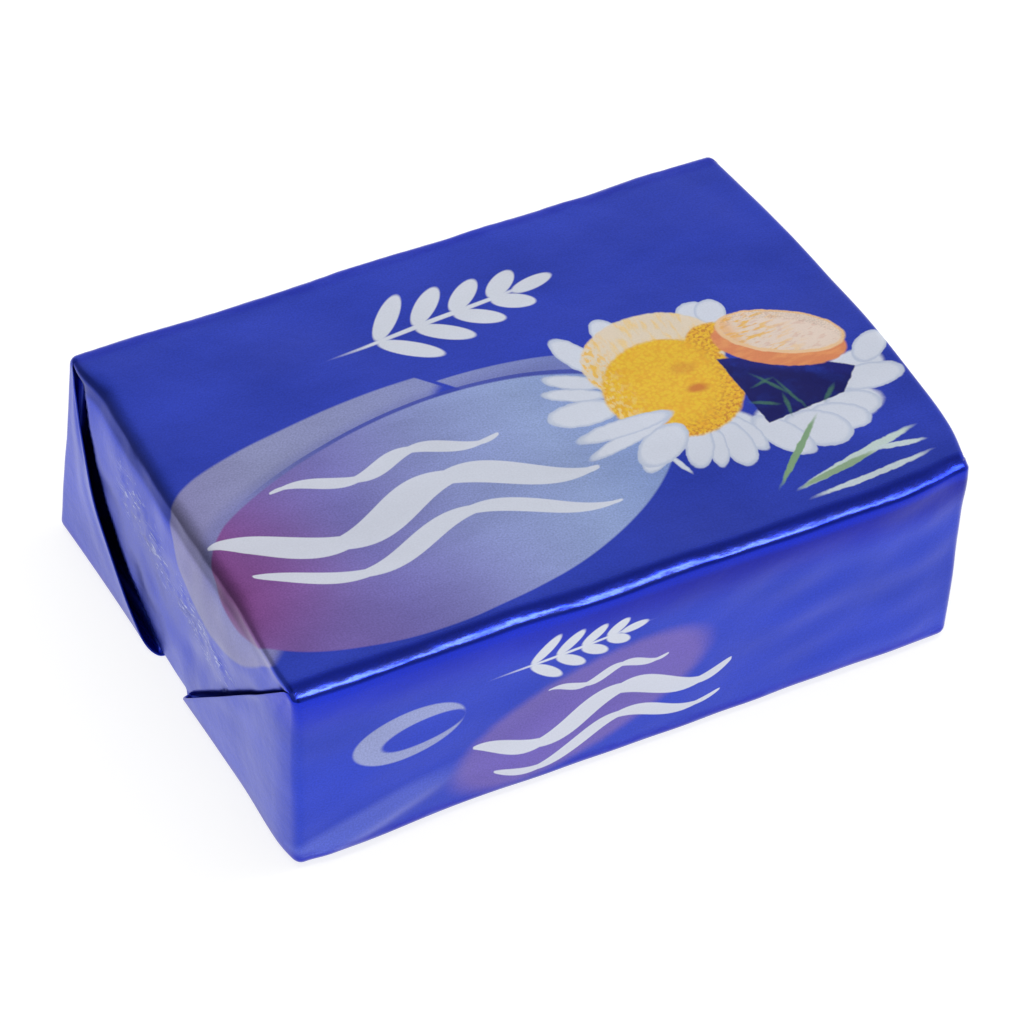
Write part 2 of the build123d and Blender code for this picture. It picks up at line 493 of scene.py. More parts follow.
def soft_dents(x, y, z):
    """Low waves over the top and the long sides, and small crumples along the creases."""
    top = smooth(z, HEIGHT - 3.0, HEIGHT - 0.4)
    near_edge = np.maximum(smooth(np.abs(y), 29.0, 36.5), smooth(np.abs(x), 44.0, 51.5))
    dz = top * (0.10 * SWELLS(x, y) + (0.012 + 0.012 * near_edge) * DENTS(x, y))
    front = smooth(-y, 34.0, 36.8)
    back = smooth(y, 34.0, 36.8)
    dy = (back - front) * (0.10 * SIDE_SWELLS(x, z) + (0.03 + 0.04 * smooth(x, 5.0, 40.0)) * SIDE_DENTS(x, z))
    crease = np.exp(-((z - HEIGHT) ** 2 + (np.abs(y) - WIDTH / 2) ** 2) / 2.2 ** 2)
    crumple = 0.007 * CRUMPLES(x, 2.0 * y - z) * crease
    return 0 * x, dy - np.sign(y) * crumple, dz - crumple


def pressed(points):
    """The folded sheet's points, moved by every swell, sag and dent."""
    for change in (front_roll, left_roll, end_swell, side_swell, soft_dents, soft_upright, front_sag,
                   corner_strain, worn_corner):
        dx, dy, dz = change(points[..., 0], points[..., 1], points[..., 2])
        points = points + np.stack([dx, dy, dz], axis=-1)
    return points


# ---- The mesh ----

BAKE_SHARES = (0.0, 0.06, 0.2, 0.8, 0.94, 1.0)      # where the folds lie in the unit square


def baking_layout(flat):
    """The flat layout squeezed into the unit square, with more room for the panels that show."""
    out = []
    for values, top, base in ((flat[:, 0], TOP_X, BASE_X), (flat[:, 1], TOP_Y, BASE_Y)):
        reach = base + WIDTH / 2 + 1.0
        out.append(np.interp(values, [-reach, -base, -top, top, base, reach], BAKE_SHARES))
    return np.column_stack(out)


def sheet_mesh(name, patches):
    """One mesh of the patches, welded along their shared edges, with the flat layout as its UVs."""
    verts, faces, flats = [], [], []
    start = 0
    for points, flat in patches:
        rows, columns = points.shape[:2]
        index = start + np.arange(rows * columns).reshape(rows, columns)
        quads = np.stack([index[:-1, :-1], index[:-1, 1:], index[1:, 1:], index[1:, :-1]], axis=2)
        verts.append(points.reshape(-1, 3))
        faces.append(quads.reshape(-1, 4))
        flats.append(flat.reshape(-1, 2))
        start += rows * columns
    verts, faces, flats = np.vstack(verts), np.vstack(faces), np.vstack(flats)
    mesh = bpy.data.meshes.new(name)
    mesh.from_pydata((verts * MM).tolist(), [], faces.tolist())
    corners = faces.reshape(-1)
    for layer_name, layout in (("sheet", flats), ("OFBake", baking_layout(flats))):
        layer = mesh.uv_layers.new(name=layer_name)
        layer.data.foreach_set("uv", layout[corners].astype(np.float32).reshape(-1))
    shape = bmesh.new()
    shape.from_mesh(mesh)
    bmesh.ops.remove_doubles(shape, verts=shape.verts[:], dist=1e-6)
    bmesh.ops.dissolve_degenerate(shape, edges=shape.edges[:], dist=1e-7)
    shape.to_mesh(mesh)
    shape.free()
    mesh.shade_smooth()
    return mesh


def wrapper():
    """The wrapped block, centred over the CAD box and resting on the floor."""
    patches = [(pressed(points), flat) for points, flat in folded_sheet()]
    cloud = np.vstack([points.reshape(-1, 3) for points, flat in patches])
    low, high = cloud.min(axis=0), cloud.max(axis=0)
    shift = np.array([-(low[0] + high[0]) / 2, -(low[1] + high[1]) / 2, -low[2]])
    patches = [(points + shift, flat) for points, flat in patches]
    piece = bpy.data.objects.new("foil_wrapper", sheet_mesh("foil_wrapper", patches))
    bpy.context.scene.collection.objects.link(piece)
    return piece, shift


# ---- Materials ----

class Nodes:
    """A short way to write a node tree."""

    def __init__(self, tree):
        self.tree = tree
        tree.nodes.clear()

    def add(self, kind, inputs=(), **settings):
        node = self.tree.nodes.new(kind)
        for key, value in settings.items():
            setattr(node, key, value)
        for key, value in dict(inputs).items():
            if isinstance(value, bpy.types.NodeSocket):
                self.tree.links.new(value, node.inputs[key])
            else:
                node.inputs[key].default_value = value
        return node

    def math(self, operation, *values):
        return self.add("ShaderNodeMath", dict(enumerate(values)), operation=operation).outputs[0]

    def span(self, value, low, high, first=0.0, last=1.0, shape="SMOOTHSTEP"):
        """From first, where the value is low, to last, where it is high."""
        ends = {"Value": value, "From Min": low, "From Max": high, "To Min": first, "To Max": last}
        return self.add("ShaderNodeMapRange", ends, interpolation_type=shape).outputs["Result"]

    def mixed(self, share, first, second, blend="MIX"):
        """Two colours, mixed or multiplied."""
        inputs = {"Factor": share, "A": first, "B": second}
        return self.add("ShaderNodeMix", inputs, data_type="RGBA", blend_type=blend).outputs["Result"]

    def hues(self, place, stops):
        """A ramp of colours, as (place, colour) stops."""
        node = self.add("ShaderNodeValToRGB", {"Fac": place})
        points = node.color_ramp.elements
        while len(points) < len(stops):
            points.new(0.5)
        for point, (position, colour) in zip(points, stops):
            point.position = position
            point.color = colour
        return node.outputs["Color"]


FOIL_LIGHT = 0.80          # how much of a clear ink's colour the light above the pack sends to the viewer
PAINT_LIGHT = 0.86         # the same for an opaque ink
LACQUER = 0.3              # weight of the clear lacquer over the whole print
LACQUER_SHINE = 0.014      # what it adds to every colour on the top


def light_of(red, green, blue):
    """An 8-bit sRGB colour as linear light."""
    share = np.array([red, green, blue]) / 255
    return np.where(share <= 0.04045, share / 12.92, ((share + 0.055) / 1.055) ** 2.4)


def ink(red, green, blue):
    """A clear ink over the metal, given as the 8-bit sRGB colour that it shows under the studio light."""
    linear = light_of(red, green, blue) / FOIL_LIGHT - LACQUER_SHINE
    return tuple(np.clip(linear, 0.003, 1.0)) + (1.0,)


def paint(red, green, blue):
    """An opaque ink, given in the same way."""
    linear = light_of(red, green, blue) / PAINT_LIGHT
    return tuple(np.clip(linear, 0.0, 1.0)) + (1.0,)


class Print(Nodes):
    """Inks laid one over another on the flat sheet, whose coordinates are millimetres."""

    def __init__(self, tree, ground):
        super().__init__(tree)
        uv = self.add("ShaderNodeUVMap", uv_map="sheet").outputs["UV"]
        parts = self.add("ShaderNodeSeparateXYZ", {"Vector": uv})
        self.fold_x, self.y = parts.outputs["X"], parts.outputs["Y"]
        self.x = self.along_the_pack()
        self.straight = self.place(self.x, self.y)
        self.drawn = self.wobbled(1.6, 0.55)
        self.colour = ground
        self.metal = None

    def along_the_pack(self):
        """The length position, which the leaning right end carries with it; the fold lines stay behind."""
        curve = self.math("POWER", self.math("ADD", self.y, END_LEAN_AT), 2.0)
        lean = self.math("SUBTRACT", END_LEAN, self.times(curve, END_LEAN_CURVE))
        lean = self.times(lean, self.ramp(self.fold_x, END_LEAN_FROM, TOP_X))
        lean = self.times(lean, self.ramp(self.y, -TOP_Y - HEIGHT, -TOP_Y))
        return self.math("ADD", self.fold_x, lean)

    def place(self, x, y):
        """A position on the sheet, as its two numbers and as a vector."""
        vector = self.add("ShaderNodeCombineXYZ", {"X": x, "Y": y}).outputs["Vector"]
        return x, y, vector

    def wobbled(self, scale, amount):
        """The same position moved a little by noise, for hand-drawn edges."""
        across = self.times(self.math("SUBTRACT", self.noise(scale), 0.5), amount)
        along = self.times(self.math("SUBTRACT", self.noise(scale, offset=57.0), 0.5), amount)
        return self.place(self.math("ADD", self.x, across), self.math("ADD", self.y, along))

    def times(self, *masks):
        """Masks multiplied together."""
        total = masks[0]
        for mask in masks[1:]:
            total = self.math("MULTIPLY", total, mask)
        return total

    def apart(self, value, level):
        """How far a value is from a level, to either side."""
        return self.math("ABSOLUTE", self.math("SUBTRACT", value, level))

    def ramp(self, value, low, high):
        """0 at low and 1 at high, smoothly; low may be the greater."""
        if low > high:
            return self.span(value, high, low, 1.0, 0.0)
        return self.span(value, low, high)

    def noise(self, scale, detail=2.0, stretch=(1.0, 1.0), offset=0.0):
        """Noise on the flat sheet, with features about scale millimetres across, between 0 and 1."""
        place = self.add("ShaderNodeMapping", {
            "Vector": self.straight[2],
            "Location": (offset, 0.37 * offset, 0.0),
            "Scale": (1 / (scale * stretch[0]), 1 / (scale * stretch[1]), 1.0),
        })
        return self.add("ShaderNodeTexNoise", {
            "Vector": place.outputs["Vector"],
            "Scale": 1.0,
            "Detail": detail,
        }).outputs["Fac"]

    def round(self, centre, half, tilt=0.0, place=None):
        """How far a point is from an ellipse's centre, as a share of it: 1 is its edge, 2 the most."""
        inside = self.add("ShaderNodeMapping", {
            "Vector": (place or self.straight)[2],
            "Location": (centre[0], centre[1], 0.0),
            "Rotation": (0.0, 0.0, radians(tilt)),
            "Scale": (2 * half[0], 2 * half[1], 1.0),
        }, vector_type="TEXTURE")
        fall = self.add("ShaderNodeTexGradient", {"Vector": inside.outputs["Vector"]},
                              gradient_type="SPHERICAL")
        return self.math("MULTIPLY_ADD", fall.outputs["Fac"], -2.0, 2.0)

    def spot(self, centre, half, tilt=0.0, blur=0.25, place=None):
        """An ellipse with an edge blurred over this many millimetres."""
        share = blur / min(half)
        return self.ramp(self.round(centre, half, tilt, place), 1 + share, 1 - share)

    def beside(self, point, heading, place=None, blur=0.14):
        """A mask for the ground to the left of a line through a point, looking along its heading."""
        x, y = (place or self.straight)[:2]
        across = (-sin(radians(heading)), cos(radians(heading)))
        off = self.math("MULTIPLY_ADD", x, across[0], self.times(y, across[1]))
        level = point[0] * across[0] + point[1] * across[1]
        return self.ramp(off, level - blur, level + blur)

    def lay(self, mask, colour, strength=1.0):
        """Lays a colour over what is there."""
        if strength != 1.0:
            mask = self.times(mask, strength)
        self.colour = self.mixed(mask, self.colour, colour)

    def cover(self, mask, colour, strength=1.0):
        """Lays an ink that also hides the metal."""
        self.lay(mask, colour, strength)
        self.opaque(mask)

    def opaque(self, mask):
        """Marks where the ink hides the metal under it."""
        self.metal = mask if self.metal is None else self.math("MAXIMUM", self.metal, mask)

    def clear(self, mask):
        """Marks where a clear ink replaces the opaque one."""
        self.metal = self.times(self.metal, self.math("SUBTRACT", 1.0, mask))


FOIL_BLUE = ink(50, 67, 178)
WHITE_INK = paint(213, 218, 231)

OVAL = ((-17.9, -13.2), (38.2, 19.45), 10.3)          # centre, half length and half width, tilt
# Colours along the pack: place, ink. The stops at -54 and below lie on the left end panel and are darker:
# painted shade of the end.
OVAL_HUES = ((-58.0, (104, 66, 120)), (-54.0, (110, 68, 124)), (-51.5, (132, 80, 147)),
             (-44.0, (122, 92, 160)), (-30.0, (122, 118, 186)), (-14.0, (139, 149, 202)),
             (2.0, (149, 167, 213)), (18.0, (132, 155, 208)))
BAND_HUES = ((-64.0, (112, 112, 160)), (-54.0, (118, 116, 164)), (-51.5, (140, 137, 182)),
             (-36.0, (144, 148, 187)), (-14.0, (139, 146, 191)), (12.0, (120, 132, 192)))


def hue_line(sheet, stops):
    """A colour that changes along the length of the pack."""
    first, last = stops[0][0], stops[-1][0]
    place = sheet.span(sheet.x, first, last, shape="LINEAR")
    return sheet.hues(place, [((where - first) / (last - first), ink(*colour)) for where, colour in stops])


def oval_field(sheet):
    """The broad tinted oval at the left of the top, and the pale band that sweeps round it."""
    edge = sheet.round(*OVAL)
    inside = sheet.ramp(edge, 1.012, 0.994)
    sweep = sheet.spot((5.93, -19.61), (70.0, 30.64), -7.91, 0.2)
    notch = sheet.math("ADD", sheet.x, sheet.times(sheet.y, 0.82))
    left = sheet.times(sweep, sheet.ramp(notch, 0.45, 0.05))
    left = sheet.times(left, sheet.beside((-53.0, -31.0), 41.5, blur=1.0))
    right = sheet.times(sheet.ramp(edge, 1.160, 1.146), sheet.ramp(notch, 0.9, 1.3))
    right = sheet.times(right, sheet.ramp(sheet.y, 0.0, 3.0))
    band = sheet.times(sheet.math("MAXIMUM", left, right), sheet.ramp(sheet.y, -31.5, -30.0))
    sheet.lay(band, hue_line(sheet, BAND_HUES), 0.96)
    dusk = sheet.times(band, sheet.ramp(edge, 1.14, 1.03))
    sheet.lay(dusk, ink(104, 110, 178), 0.35)
    line = sheet.times(sheet.ramp(edge, 1.042, 1.034), sheet.ramp(sheet.x, -50.0, -20.0))
    sheet.lay(sheet.times(line, sheet.ramp(sheet.y, -8.0, 2.0)), ink(62, 74, 168), 0.85)
    sheet.lay(inside, hue_line(sheet, OVAL_HUES))
    low = sheet.times(inside, sheet.ramp(sheet.y, -16.0, -31.0))
    sheet.lay(sheet.times(low, sheet.ramp(sheet.x, 0.0, -40.0)), ink(112, 100, 170), 0.5)
    rose = sheet.spot((-52.0, -13.0), (12.0, 12.0), 0.0, 9.0)
    rose = sheet.times(rose, sheet.ramp(sheet.x, -54.0, -51.0))
    sheet.lay(sheet.times(inside, rose), ink(134, 76, 142), 0.6)


# Ribbons: middle x, half length, middle y, slope, wave height, wave length, phase, half width
TOP_RIBBONS = (
    (-22.5, 28.5, -10.6, -0.04, 3.1, 37.0, 0.2, 2.7),
    (-20.5, 26.5, -17.6, -0.05, 2.9, 37.0, 0.5, 1.6),
    (-21.0, 17.0, -1.9, -0.03, 1.3, 19.0, 0.2, 1.25),
)
FRONT_RIBBONS = (
    (-4.5, 20.5, 10.6, 0.07, 2.3, 25.0, 0.9, 1.9),
    (-3.5, 18.0, 5.6, 0.07, 2.1, 25.0, 1.2, 1.15),
    (-4.0, 9.5, 17.4, 0.03, 0.8, 11.0, 0.4, 0.8),
)


def ribbon(sheet, x, y, middle, half, level, slope, wave, length, phase, width):
    """A mask for one wavy ribbon that swells and thins along its run, and tapers to its ends."""
    from_middle = sheet.math("SUBTRACT", x, middle)
    turn = sheet.math("ADD", sheet.times(from_middle, 2 * pi / length), phase)
    rise = sheet.times(sheet.math("SINE", turn), wave)
    line = sheet.math("ADD", sheet.math("ADD", rise, level), sheet.times(from_middle, slope))
    away = sheet.apart(y, line)
    steep = sheet.math("ABSOLUTE", sheet.math("COSINE", turn))
    share = sheet.math("DIVIDE", from_middle, half)
    taper = sheet.math("MAXIMUM", sheet.math("SUBTRACT", 1.0, sheet.times(share, share)), 0.0)
    swell = sheet.math("ADD", 0.55, sheet.times(steep, 0.6))
    room = sheet.times(sheet.times(sheet.math("SQRT", taper), swell), width)
    mask = sheet.ramp(sheet.math("SUBTRACT", away, room), 0.1, -0.1)
    return sheet.times(mask, sheet.ramp(taper, 0.005, 0.03))


def ribbons(sheet, height, table):
    """White ribbons poured across a panel, whose height on the sheet is given."""
    for row in table:
        sheet.cover(ribbon(sheet, sheet.x, height, *row), WHITE_INK, 0.95)


TOP_SPRIG = (-1.0, 21.9, 1.0)          # the middle of its stem, and its size
FRONT_SPRIG = (-10.0, -45.4, 0.62)


def sprig(sheet, x0, y0, size):
    """A plain leafy sprig: a stem with leaves in pairs, all white."""
    sheet.cover(sheet.spot((x0, y0), (15.0 * size, 0.42 * size), 4.0, 0.12), WHITE_INK)
    for step in range(4):
        along = -9.5 + 6.2 * step
        reach = 4.9 - 0.55 * step
        for side in (-1, 1):
            tilt = 4.0 + side * (42.0 - 4.0 * step)
            centre = (x0 + (along + reach * 0.8 * cos(radians(tilt))) * size,
                      y0 + (0.07 * along + reach * 0.98 * sin(radians(tilt)) + side * 0.35) * size)
            sheet.cover(sheet.spot(centre, (reach * size, 1.5 * size), tilt, 0.12), WHITE_INK)
    tip = (x0 + 15.5 * size, y0 + 1.1 * size)
    sheet.cover(sheet.spot(tip, (3.4 * size, 1.2 * size), 8.0, 0.12), WHITE_INK)


# Petals: centre, half length and half width, heading; the first lie under the flower's heart
UNDER_PETALS = (
    ((12.9, 6.4), (4.8, 2.1), 111.0), ((19.2, 8.3), (3.7, 2.2), 96.0), ((32.6, 6.9), (2.9, 2.8), 20.0),
    ((35.0, 6.6), (2.3, 2.6), -20.0), ((10.0, 1.9), (4.3, 1.4), 148.0), ((9.2, -0.6), (4.7, 1.3), 155.0),
    ((8.6, -4.5), (5.3, 2.6), 171.0), ((52.3, -9.4), (3.7, 2.2), 34.0), ((49.2, -14.6), (5.6, 2.5), -6.0),
    ((44.4, -18.6), (4.2, 2.7), -14.0), ((41.4, -20.1), (4.6, 2.8), -24.0),
    ((37.6, -20.8), (5.0, 3.5), -38.0), ((32.4, -20.0), (5.4, 2.5), -62.0),
    ((27.9, -17.6), (4.1, 1.7), -76.0), ((25.6, -18.8), (4.6, 2.4), -92.0),
    ((22.7, -18.3), (3.9, 1.5), -106.0), ((20.4, -17.3), (4.2, 2.1), -120.0),
)
PETAL_BEDS = (
    ((39.4, -17.6), (9.6, 4.2), -8.0), ((48.0, -12.4), (5.0, 3.0), 10.0), ((24.0, -15.6), (6.0, 3.6), 0.0),
)
OVER_PETALS = (
    ((16.3, -19.2), (2.2, 0.45), -70.0), ((13.4, -17.0), (2.7, 1.6), -140.0),
    ((15.8, -14.9), (5.0, 2.9), -152.0), ((12.3, -11.7), (7.3, 1.3), -168.0),
    ((12.6, -9.5), (7.6, 1.7), 179.0),
)
PETAL_SHADE = paint(190, 200, 222)
PETAL_WHITE = paint(212, 218, 233)
PETAL_BLUR = 0.10          # the softness of a petal's edge
PETAL_INNER = 0.82         # the share of a petal inside its greyer rim


def petals(sheet, table):
    """White petals, each a little greyer along its edge."""
    for centre, half, heading in table:
        distance = sheet.round(centre, half, heading, sheet.drawn)
        share = PETAL_BLUR / half[1]
        whole = sheet.ramp(distance, 1 + share, 1 - share)
        sheet.lay(whole, PETAL_SHADE)
        sheet.lay(sheet.ramp(distance, 1 - share, PETAL_INNER - share), PETAL_WHITE)
        sheet.opaque(whole)


def petal_beds(sheet):
    """White ground where the petals crowd together."""
    for centre, half, heading in PETAL_BEDS:
        sheet.cover(sheet.spot(centre, half, heading, 0.3, sheet.drawn), PETAL_WHITE)


# Flecks on the flower's heart: centre, half length and half width, strength
HEART_FLECKS = (((25.8, -6.7), (1.5, 0.85), 0.85), ((25.8, -2.2), (1.9, 1.2), 0.35))


def flower_heart(sheet):
    """The yellow disc with its orange flecks, and the cream cap over its upper edge."""
    flecks = sheet.add("ShaderNodeTexVoronoi", {"Vector": sheet.drawn[2], "Scale": 1.9, "Randomness": 1.0})
    fleck = sheet.ramp(flecks.outputs["Distance"], 0.30, 0.85)
    patch = sheet.noise(2.0, 3.0, offset=11.0)
    curls = sheet.ramp(sheet.noise(0.9, 3.0, (0.8, 1.5), 41.0), 0.47, 0.60)
    cap = sheet.spot((23.2, 1.9), (10.8, 8.5), 0.0, 0.2, sheet.drawn)
    sheet.lay(cap, paint(228, 212, 190))
    sheet.opaque(sheet.times(cap, 0.9))
    streak = sheet.ramp(sheet.noise(1.5, 3.0, (0.6, 2.2), 13.0), 0.46, 0.66)
    sheet.lay(sheet.times(cap, streak), paint(240, 202, 116), 0.65)
    golden = sheet.times(cap, sheet.ramp(sheet.x, 19.5, 14.0))
    sheet.lay(sheet.times(golden, curls), paint(240, 188, 52), 0.85)
    disc = sheet.spot((22.6, -5.3), (10.1, 10.1), 0.0, 0.35, sheet.drawn)
    corner = sheet.spot((32.0, 1.6), (3.9, 3.0), 20.0, 0.3, sheet.drawn)
    disc = sheet.math("MAXIMUM", disc, corner)
    sheet.cover(disc, paint(243, 194, 30))
    sheet.lay(sheet.times(disc, fleck), paint(232, 166, 16), 0.7)
    rim = sheet.times(disc, sheet.ramp(sheet.round((21.6, -2.8), (10.8, 12.0)), 0.62, 1.0))
    rough = sheet.ramp(sheet.noise(0.55, 3.0, offset=17.0), 0.44, 0.62)
    sheet.lay(sheet.times(rim, rough), paint(206, 122, 24), 0.85)
    sheet.lay(sheet.times(disc, sheet.ramp(patch, 0.50, 0.70)), paint(236, 168, 20), 0.5)
    pale = sheet.times(disc, sheet.times(curls, sheet.ramp(sheet.x, 18.5, 12.5)))
    sheet.lay(pale, paint(238, 214, 150), 0.8)
    for centre, half, strength in HEART_FLECKS:
        sheet.lay(sheet.spot(centre, half, -12.0, 0.5, sheet.drawn), paint(206, 104, 30), strength)


# The dark wedge's sides: a point and a heading, with the wedge to the left
WEDGE_SIDES = (((33.5, -3.6), 156.2), ((40.0, -6.5), 146.6), ((48.5, -12.0), 45.0), ((31.5, -17.1), 4.6))
# The stalks in it: centre, half length and half width, heading
STALKS = (
    ((35.6, -10.4), (2.6, 0.28), -62.0), ((37.3, -13.2), (2.8, 0.25), -78.0),
    ((34.6, -9.6), (1.3, 0.2), 10.0), ((33.0, -13.4), (1.8, 0.35), -28.0),
    ((35.8, -15.0), (1.8, 0.3), 80.0), ((42.4, -15.3), (1.6, 0.3), 40.0),
)


def butter_curl(sheet):
    """A curl of cream in an orange shell, over a dark wedge with green stalks."""
    dark = sheet.beside((31.3, -8.0), -88.0, sheet.drawn)
    for point, heading in WEDGE_SIDES:
        side = sheet.beside(point, heading, sheet.drawn)
        dark = sheet.times(dark, side)
    sheet.lay(dark, ink(38, 42, 122))
    cloudy = sheet.times(dark, sheet.ramp(sheet.noise(3.0, offset=5.0), 0.45, 0.65))
    sheet.lay(cloudy, ink(42, 58, 156), 0.8)
    shaded = sheet.times(dark, sheet.beside((40.0, -9.4), 150.0, blur=0.9))
    sheet.lay(shaded, ink(30, 28, 84), 0.6)
    sheet.clear(dark)
    for centre, half, heading in STALKS:
        sheet.lay(sheet.spot(centre, half, heading, 0.18, sheet.drawn), paint(70, 118, 100), 0.8)
    shell = sheet.spot((40.9, -3.2), (9.7, 4.9), -32.6, 0.15, sheet.drawn)
    sheet.lay(shell, paint(224, 134, 84))
    glow = sheet.ramp(sheet.noise(1.8, 3.0, (2.0, 0.7), 3.0), 0.45, 0.7)
    sheet.lay(sheet.times(shell, glow), paint(236, 160, 96), 0.7)
    sheet.opaque(shell)
    rim = sheet.spot((42.1, -1.3), (9.4, 4.6), -32.6, 0.12, sheet.drawn)
    sheet.lay(rim, paint(236, 196, 150))
    curl = sheet.spot((42.2, -1.2), (8.8, 4.05), -32.6, 0.12, sheet.drawn)
    sheet.lay(curl, paint(232, 212, 198))
    streak = sheet.ramp(sheet.noise(1.3, 3.0, (1.9, 0.55), 23.0), 0.48, 0.62)
    streak = sheet.times(curl, streak)
    sheet.lay(sheet.times(streak, sheet.ramp(sheet.x, 46.0, 38.0)), paint(240, 186, 70), 0.9)
    sheet.lay(sheet.times(curl, sheet.ramp(sheet.x, 37.4, 35.2)), paint(236, 176, 100), 0.7)
    fold = sheet.ramp(sheet.noise(1.0, 2.0, (1.6, 0.6), 29.0), 0.53, 0.66)
    sheet.lay(sheet.times(curl, fold), paint(214, 170, 150), 0.4)


# Grass blades: from, to, half width, colour
BLADES = (
    ((27.5, -28.2), (37.9, -19.0), 0.50, (124, 162, 122)),
    ((29.8, -30.0), (49.6, -26.1), 0.80, (196, 214, 212)),
    ((30.0, -29.9), (42.0, -28.2), 0.55, (140, 170, 136)),
    ((42.6, -27.8), (50.2, -29.1), 0.50, (200, 216, 222)),
    ((31.0, -32.3), (49.6, -31.7), 0.55, (200, 214, 222)),
)


def blades(sheet):
    """Thin pale grass blades at the lower right of the top."""
    for start, end, width, colour in BLADES:
        run = Vector((end[0] - start[0], end[1] - start[1]))
        centre = ((start[0] + end[0]) / 2, (start[1] + end[1]) / 2)
        heading = np.degrees(np.arctan2(run.y, run.x))
        mask = sheet.spot(centre, (run.length / 2, width), heading, 0.12, sheet.drawn)
        sheet.lay(mask, paint(*colour))
        sheet.opaque(sheet.times(mask, 0.8))


# The front's fields: centre, half length and half width, tilt, blur
CLOUD = ((-8.0, -58.5), (20.5, 8.6), 19.0, 1.0)
CRESCENT = ((-34.9, -51.2), (8.6, 4.4), 4.0, 0.15)
CRESCENT_HOLLOW = ((-32.6, -51.6), (6.6, 2.2), 6.0, 0.15)


def front_print(sheet):
    """The front face: a soft purple cloud, a pale crescent, a small sprig and small ribbons."""
    cloud = sheet.spot(*CLOUD, sheet.drawn)
    height = sheet.math("ADD", sheet.y, TOP_Y + HEIGHT)
    face = sheet.ramp(sheet.y, -TOP_Y - 1.0, -TOP_Y - 3.0)
    sheet.lay(sheet.times(cloud, face), ink(116, 98, 164), 0.75)
    rim = sheet.spot(*CRESCENT)
    hollow = sheet.spot(*CRESCENT_HOLLOW)
    crescent = sheet.times(rim, sheet.math("SUBTRACT", 1.0, hollow))
    sheet.lay(crescent, ink(138, 146, 188))
    ribbons(sheet, height, FRONT_RIBBONS)
    sprig(sheet, *FRONT_SPRIG)


def fold_shading(sheet, front_crease, crest, creases):
    """Painted shade and painted highlights along the folds, laid under the print."""
    # painted highlight: a paler streak up from the front's left foot, for the sheen along the ridge there
    strain_sheen = sheet.spot((-42.0, -65.8), (13.5, 2.6), 17.0, 1.0)
    sheet.lay(strain_sheen, ink(112, 124, 204), 0.45)
    # painted shade: the front face darker and deeper blue just under the top crease, darkest towards the
    # right
    shadow = sheet.times(sheet.ramp(sheet.y, -47.0, -39.5), sheet.ramp(sheet.y, -36.0, -37.5))
    sheet.lay(shadow, ink(10, 44, 186), 0.6)
    sheet.lay(sheet.times(shadow, sheet.ramp(sheet.x, -44.0, 14.0)), ink(8, 28, 134), 0.7)
    # painted shade: deeper, darker blue over the front roll, on both sides of its highlight
    sheet.lay(front_crease, ink(16, 48, 184), 0.75)
    # painted shade: dark lines along the base's rolled crease and, fainter, along the back top crease
    sheet.lay(creases, ink(12, 38, 168), 0.85)
    # painted highlight: a pale, broken line along the front roll's crest
    sheet.lay(crest, ink(62, 78, 190), 0.85)


def top_print(sheet):
    """The top's print, from the lowest ink to the highest."""
    oval_field(sheet)
    ribbons(sheet, sheet.y, TOP_RIBBONS)
    sprig(sheet, *TOP_SPRIG)
    petal_beds(sheet)
    petals(sheet, UNDER_PETALS)
    flower_heart(sheet)
    petals(sheet, OVER_PETALS)
    butter_curl(sheet)
    blades(sheet)


RIDGE_GLINT_INK = ink(206, 214, 250)
SPECKLE = (0.86, 1.12)     # the range of the fine tone of the ink
MOTTLE = (0.88, 1.08)      # the range of its broad tone
LEFT_CREASE_SHADE = 0.42                # how much the painted shade darkens the strip over the left crease
PAINT_HIDES = 0.75         # how much of the metal an opaque ink hides
FOIL_ROUGH = 0.32
CREASE_SHINE = 0.17        # how much smoother the front roll is


def printed_foil():
    """Blue metallised foil with its print: metal where the ink is clear, and paper-white where it is not."""
    material = bpy.data.materials.new("printed_foil")
    material.use_nodes = True
    sheet = Print(material.node_tree, FOIL_BLUE)
    # masks where shade and highlights are painted along the long folds
    front_crease, crest, creases = crease_lines(sheet)
    fold_shading(sheet, front_crease, crest, creases)
    top_print(sheet)
    front_print(sheet)
    ridges = crinkles(sheet)
    # painted highlight: near-white glints laid along the end's little ridges
    sheet.lay(ridges, RIDGE_GLINT_INK, 0.62)
    speckle = sheet.span(sheet.noise(0.28, 2.0, offset=7.0), 0.3, 0.7, *SPECKLE, "LINEAR")
    mottle = sheet.span(sheet.noise(14.0, 3.0, (1.6, 0.8), 77.0), 0.3, 0.7, *MOTTLE, "LINEAR")
    tone = sheet.times(speckle, mottle)
    # painted shade: the strip over the left crease is darkened in the colour
    dusk = sheet.math("MULTIPLY_ADD", left_crease_painted_shade(sheet), -LEFT_CREASE_SHADE, 1.0)
    metallic = sheet.math("SUBTRACT", 1.0, sheet.times(sheet.metal, PAINT_HIDES))
    toned = sheet.mixed(metallic, sheet.colour, tone, "MULTIPLY")
    mottled_shade = sheet.mixed(1.0, toned, dusk, "MULTIPLY")
    roughness = sheet.math("SUBTRACT", FOIL_ROUGH, sheet.times(front_crease, CREASE_SHINE))
    shader = sheet.add("ShaderNodeBsdfPrincipled", {
        "Base Color": mottled_shade,
        "Metallic": metallic,
        "Roughness": roughness,
        "Normal": foil_grain(sheet, ridges),
        "Coat Weight": LACQUER,
        "Coat Roughness": 0.22,
    })
    sheet.add("ShaderNodeOutputMaterial", {"Surface": shader.outputs["BSDF"]})
    return material


ROLL_MIDDLE = 0.55         # how far outside the top panel the front roll's middle lies
BASE_CREASE = 1.4          # how far inside the base's fold its crease lies
CREST_Y = 36.65            # the front roll's brightest line, across the flat sheet


